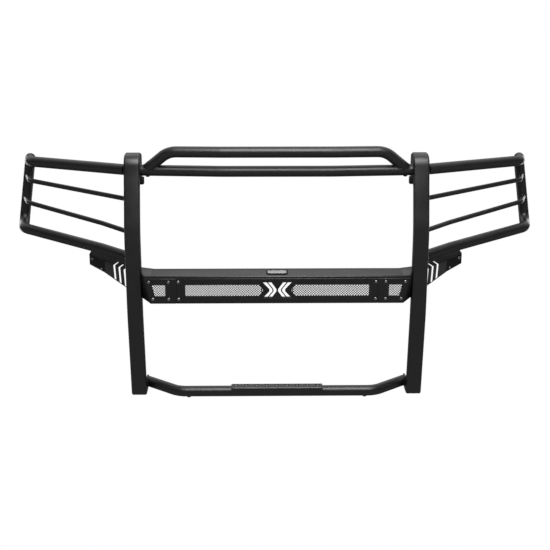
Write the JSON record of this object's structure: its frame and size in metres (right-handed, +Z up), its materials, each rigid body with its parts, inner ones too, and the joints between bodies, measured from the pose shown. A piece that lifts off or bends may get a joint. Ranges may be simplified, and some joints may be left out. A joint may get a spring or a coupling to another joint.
{
  "type": "front grille guard",
  "caption": "Wrap-around front grille guard for a pickup truck: two formed uprights, tube hoops, headlamp wings, a slotted light bar housing and a step tube.",
  "frame": {"origin": "midway between the rear faces of the two frame brackets, at the brackets' middle height", "axes": "+Z up; +Y towards the truck, so the guard's front faces -Y; +X to the viewer's right when looking at the front"},
  "size_m": [1.9248, 0.4491, 0.909],
  "materials": {
    "black_coat": "satin black powder coat",
    "black_coat_inner": "matte black powder coat",
    "black_mesh": "satin black expanded mesh",
    "black_steel": "black zinc fasteners",
    "plug_plastic": "matte moulded plug"
  },
  "bodies": {
    "root": {"upright_right": "black_coat", "upright_left": "black_coat", "web_plate_right": "black_coat_inner", "web_plate_left": "black_coat_inner", "frame_bracket_right": "black_coat_inner", "frame_bracket_left": "black_coat_inner", "top_hoop_tube": "black_coat", "upper_cross_tube": "black_coat", "lower_step_tube": "black_coat", "step_plate": "black_coat", "upper_tab_right": "black_coat_inner", "upper_tab_left": "black_coat_inner", "light_bar_housing": "black_coat", "housing_end_right": "black_coat", "housing_end_left": "black_coat", "centre_panel": "black_coat", "side_panel_right": "black_coat", "side_panel_left": "black_coat", "centre_mesh_right": "black_mesh", "centre_mesh_left": "black_mesh", "side_mesh_right": "black_mesh", "side_mesh_left": "black_mesh", "badge_plate": "black_steel", "wing_hoop_right": "black_coat", "wing_hoop_left": "black_coat", "wing_rod_upper_right": "black_coat", "wing_rod_upper_left": "black_coat", "wing_rod_lower_right": "black_coat", "wing_rod_lower_left": "black_coat", "pod_housing_right": "black_coat", "pod_housing_left": "black_coat", "pod_panel_right": "black_coat_inner", "pod_panel_left": "black_coat_inner", "cross_tube_plug_right": "plug_plastic", "cross_tube_plug_left": "plug_plastic", "step_tube_plug_right": "plug_plastic", "step_tube_plug_left": "plug_plastic", "centre_screw_right_1": "black_steel", "centre_screw_left_1": "black_steel", "centre_screw_right_2": "black_steel", "centre_screw_left_2": "black_steel", "side_screw_right_1": "black_steel", "side_screw_left_1": "black_steel", "side_screw_right_2": "black_steel", "side_screw_left_2": "black_steel", "side_screw_right_3": "black_steel", "side_screw_left_3": "black_steel", "side_screw_right_4": "black_steel", "side_screw_left_4": "black_steel", "pod_screw_right_1": "black_steel", "pod_screw_left_1": "black_steel", "pod_screw_right_2": "black_steel", "pod_screw_left_2": "black_steel", "bracket_bolt_right_1": "black_steel", "bracket_bolt_left_1": "black_steel", "bracket_bolt_right_2": "black_steel", "bracket_bolt_left_2": "black_steel"}
  },
  "joints": []
}
